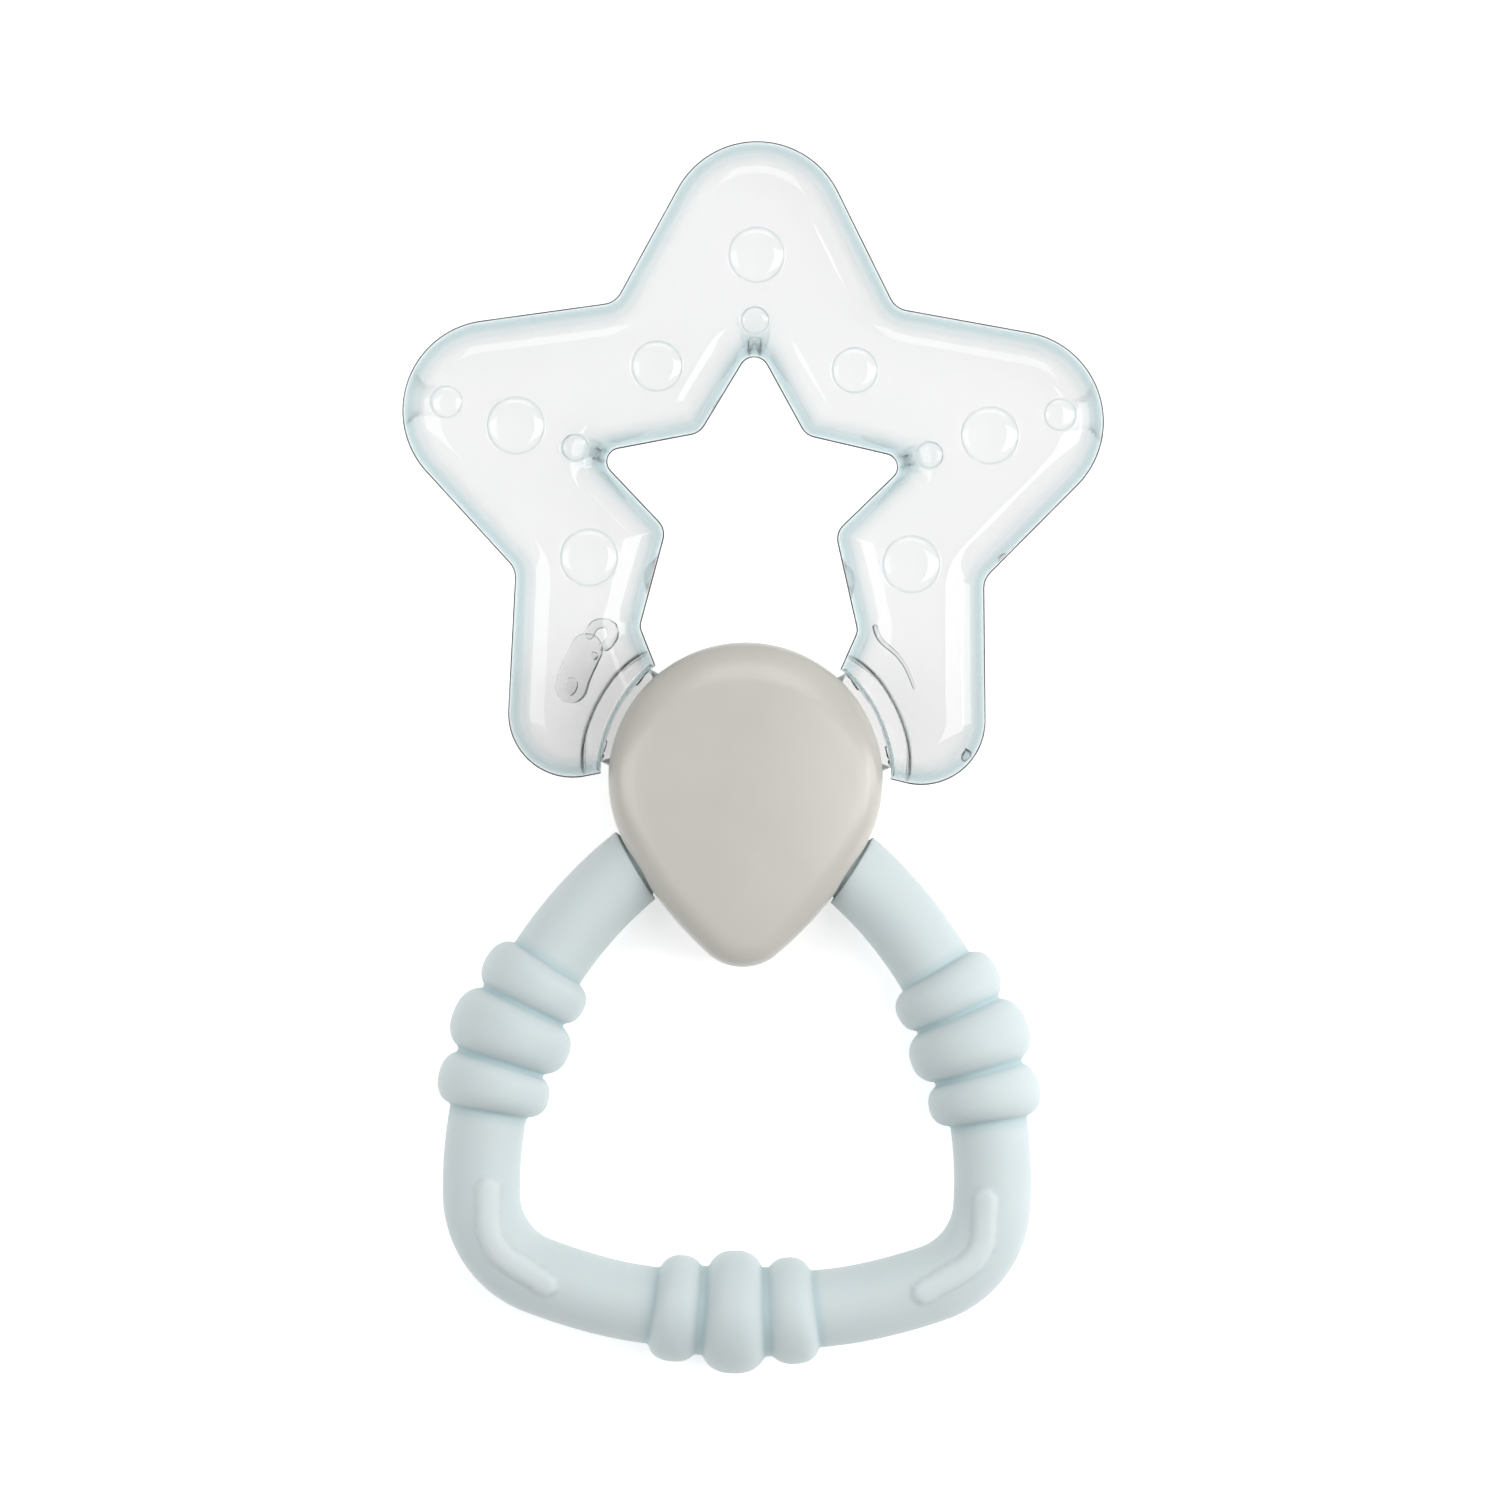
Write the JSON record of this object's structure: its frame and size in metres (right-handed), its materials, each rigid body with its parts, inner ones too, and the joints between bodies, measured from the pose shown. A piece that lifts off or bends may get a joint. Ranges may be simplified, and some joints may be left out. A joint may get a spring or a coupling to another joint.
{
  "type": "teething ring",
  "caption": "Water-filled star teether on a drop-shaped joiner with a soft beaded grip ring",
  "frame": {"origin": "on the plane the object rests on, under the middle of its outline", "axes": "+Z out of the front face, +Y toward the tip of the star's top arm, +X to the right seen from the front"},
  "size_m": [0.082, 0.1455, 0.0148],
  "materials": {
    "star_clear": "gloss",
    "water": "polished",
    "plug_clear": "satin",
    "joiner_grey": "satin",
    "handle_blue": "matte"
  },
  "bodies": {
    "root": {"star_front_shell": "star_clear", "star_back_shell": "star_clear", "star_water": "water", "fill_plug": "plug_clear", "vent_plug": "plug_clear", "joiner_front_cover": "joiner_grey", "joiner_back_cover": "joiner_grey", "handle_ring": "handle_blue"}
  },
  "joints": []
}
